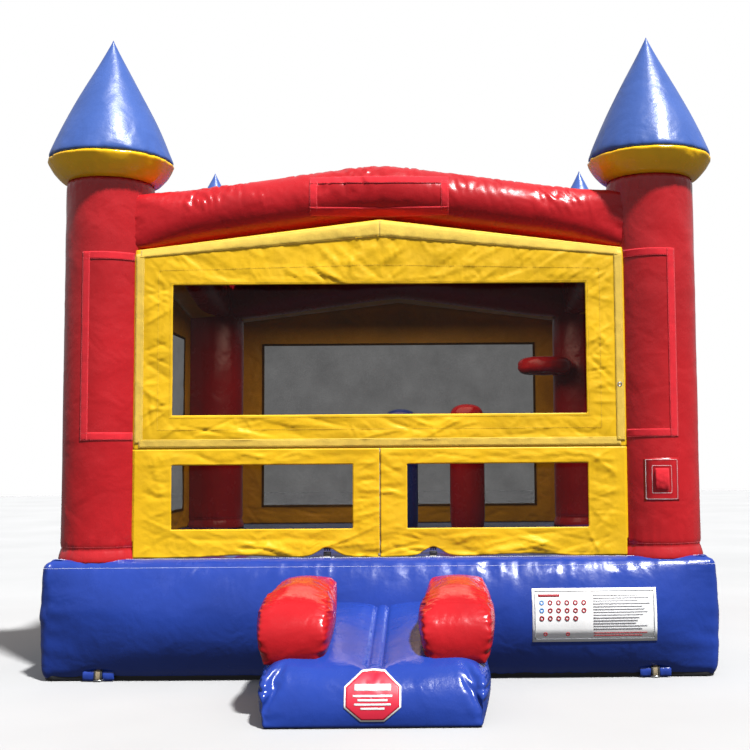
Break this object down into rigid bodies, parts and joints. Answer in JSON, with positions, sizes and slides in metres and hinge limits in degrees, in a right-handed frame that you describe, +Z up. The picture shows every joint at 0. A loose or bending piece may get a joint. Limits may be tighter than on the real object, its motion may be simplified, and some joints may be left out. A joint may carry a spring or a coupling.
{
  "type": "inflatable bounce house",
  "caption": "Square inflatable bounce house with cone-topped corner towers, peaked beams, netted cloth walls, a split entrance held by buckles and a padded entry step.",
  "frame": {"origin": "bottom centre of the whole object's box, on the ground", "axes": "+X to the viewer's right along the front, +Y from the entrance step to the rear, +Z up"},
  "size_m": [4.17, 5.9707, 3.968],
  "materials": {
    "vinyl_blue": "glossy coated vinyl",
    "vinyl_red": "glossy coated vinyl",
    "vinyl_yellow": "glossy coated vinyl",
    "cloth_yellow": "satin coated cloth, creased",
    "loop_tape_yellow": "matte loop tape",
    "loop_tape_red": "matte loop tape",
    "net_black": "fine knotted net",
    "cloth_black": "matte coated cloth",
    "webbing_blue": "vinyl hem band with woven webbing loops",
    "sign_white": "printed vinyl",
    "sign_red": "printed vinyl",
    "buckle_black": "moulded plastic",
    "ring_steel": "bright zinc plate"
  },
  "bodies": {
    "root": {"base_wall": "vinyl_blue", "bounce_floor": "vinyl_blue", "step_cushion": "vinyl_blue", "popup_blue": "vinyl_blue", "inflation_tube": "vinyl_blue", "roof_sheet": "vinyl_blue", "cone_front_left": "vinyl_blue", "cone_front_right": "vinyl_blue", "cone_rear_right": "vinyl_blue", "cone_rear_left": "vinyl_blue", "step_bolster_left": "vinyl_red", "step_bolster_right": "vinyl_red", "popup_red": "vinyl_red", "basketball_hoop": "vinyl_red", "column_front_left": "vinyl_red", "column_front_right": "vinyl_red", "column_rear_right": "vinyl_red", "column_rear_left": "vinyl_red", "beam_front": "vinyl_red", "beam_right": "vinyl_red", "beam_rear": "vinyl_red", "beam_left": "vinyl_red", "collar_front_left": "vinyl_yellow", "collar_front_right": "vinyl_yellow", "collar_rear_right": "vinyl_yellow", "collar_rear_left": "vinyl_yellow", "panel_front": "cloth_yellow", "panel_right": "cloth_yellow", "panel_rear": "cloth_yellow", "panel_left": "cloth_yellow", "door_side_left": "cloth_yellow", "door_side_right": "cloth_yellow", "panel_loop_frame": "loop_tape_yellow", "beam_loop_frame": "loop_tape_red", "tower_loop_frame_left": "loop_tape_red", "tower_loop_frame_right": "loop_tape_red", "tether_patch": "loop_tape_red", "net_front": "net_black", "net_right": "net_black", "net_rear": "net_black", "net_left": "net_black", "side_net_left": "net_black", "side_net_right": "net_black", "ground_sheet": "cloth_black", "floor_baffles": "cloth_black", "hem_webbing": "webbing_blue", "rules_sign": "sign_white", "octagon_sign": "sign_red", "buckle_socket_left": "buckle_black", "buckle_socket_right": "buckle_black"},
    "door_flap_left_body": {"door_flap_left": "cloth_yellow", "flap_net_left": "net_black", "buckle_tongue_left": "buckle_black"},
    "door_flap_right_body": {"door_flap_right": "cloth_yellow", "flap_net_right": "net_black", "buckle_tongue_right": "buckle_black"},
    "anchor_ring_front_left_body": {"anchor_ring_front_left": "ring_steel"},
    "anchor_ring_front_right_body": {"anchor_ring_front_right": "ring_steel"},
    "anchor_ring_rear_left_body": {"anchor_ring_rear_left": "ring_steel"},
    "anchor_ring_rear_right_body": {"anchor_ring_rear_right": "ring_steel"}
  },
  "joints": [
    {"name": "door_flap_left_fold", "type": "hinge", "parent": "root", "child": "door_flap_left_body", "pos_m": [0, -1.5775, 1.357], "axis": [-0.9157, 0, -0.4019], "range_deg": [-80, 110]},
    {"name": "door_flap_right_fold", "type": "hinge", "parent": "root", "child": "door_flap_right_body", "pos_m": [0, -1.5775, 1.357], "axis": [-0.9157, 0, 0.4019], "range_deg": [-80, 110]},
    {"name": "anchor_ring_front_left_lift", "type": "hinge", "parent": "root", "child": "anchor_ring_front_left_body", "pos_m": [-1.65, -1.6845, 0.009], "axis": [-1, 0, 0], "range_deg": [0, 85]},
    {"name": "anchor_ring_front_right_lift", "type": "hinge", "parent": "root", "child": "anchor_ring_front_right_body", "pos_m": [1.62, -1.6845, 0.009], "axis": [-1, 0, 0], "range_deg": [0, 85]},
    {"name": "anchor_ring_rear_left_lift", "type": "hinge", "parent": "root", "child": "anchor_ring_rear_left_body", "pos_m": [-1.65, 2.2945, 0.009], "axis": [1, 0, 0], "range_deg": [0, 85]},
    {"name": "anchor_ring_rear_right_lift", "type": "hinge", "parent": "root", "child": "anchor_ring_rear_right_body", "pos_m": [1.62, 2.2945, 0.009], "axis": [1, 0, 0], "range_deg": [0, 85]}
  ]
}
